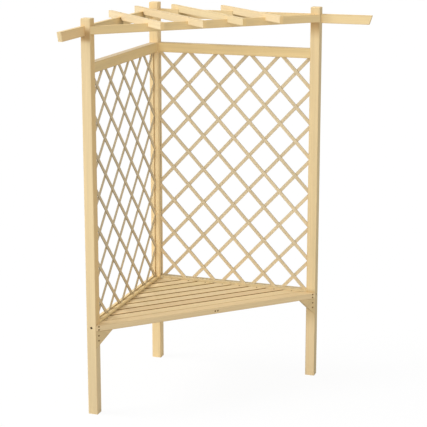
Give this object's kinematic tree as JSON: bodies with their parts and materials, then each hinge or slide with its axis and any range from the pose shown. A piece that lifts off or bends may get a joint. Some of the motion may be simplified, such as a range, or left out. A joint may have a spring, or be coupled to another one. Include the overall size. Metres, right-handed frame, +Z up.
{
  "type": "corner arbour seat",
  "caption": "Wooden corner arbour seat: square posts, crossed-lath lattice panels at right angles, a slatted corner bench and an open roof of beams and notched slats.",
  "frame": {"origin": "on the ground, at the middle of the footprint's bounding box", "axes": "+Z up; the back panel runs along +X at the +Y side, the left panel runs along Y at the -X side; a person sits facing between +X and -Y"},
  "size_m": [1.2846, 1.2846, 1.97],
  "materials": {
    "post_timber": "planed bare pine",
    "rail_timber": "planed bare pine",
    "lath_timber": "sawn bare pine laths",
    "beam_timber": "planed bare pine",
    "roof_slat_timber": "planed bare pine",
    "seat_timber": "planed bare pine, eased edges",
    "hidden_timber": "sawn bare pine battens",
    "bolt_steel": "zinc plated"
  },
  "bodies": {
    "root": {"post_left": "post_timber", "post_corner": "post_timber", "post_right": "post_timber", "rail_top_left": "rail_timber", "rail_top_back": "rail_timber", "rail_bottom_left": "rail_timber", "rail_bottom_back": "rail_timber", "lattice_left": "lath_timber", "lattice_back": "lath_timber", "beam_left": "beam_timber", "beam_back": "beam_timber", "beam_diagonal": "beam_timber", "roof_slat_1": "roof_slat_timber", "roof_slat_2": "roof_slat_timber", "roof_slat_3": "roof_slat_timber", "roof_slat_4": "roof_slat_timber", "seat_slat_1": "seat_timber", "seat_slat_2": "seat_timber", "seat_slat_3": "seat_timber", "seat_slat_4": "seat_timber", "seat_slat_5": "seat_timber", "seat_slat_6": "seat_timber", "seat_slat_7": "seat_timber", "seat_slat_8": "seat_timber", "apron": "rail_timber", "bracket_left": "rail_timber", "bracket_right": "rail_timber", "ledger_left": "hidden_timber", "ledger_back": "hidden_timber", "centre_bearer": "hidden_timber", "frame_bolt_left": "bolt_steel", "frame_bolt_corner_left": "bolt_steel", "frame_bolt_corner_back": "bolt_steel", "frame_bolt_right": "bolt_steel"}
  },
  "joints": []
}
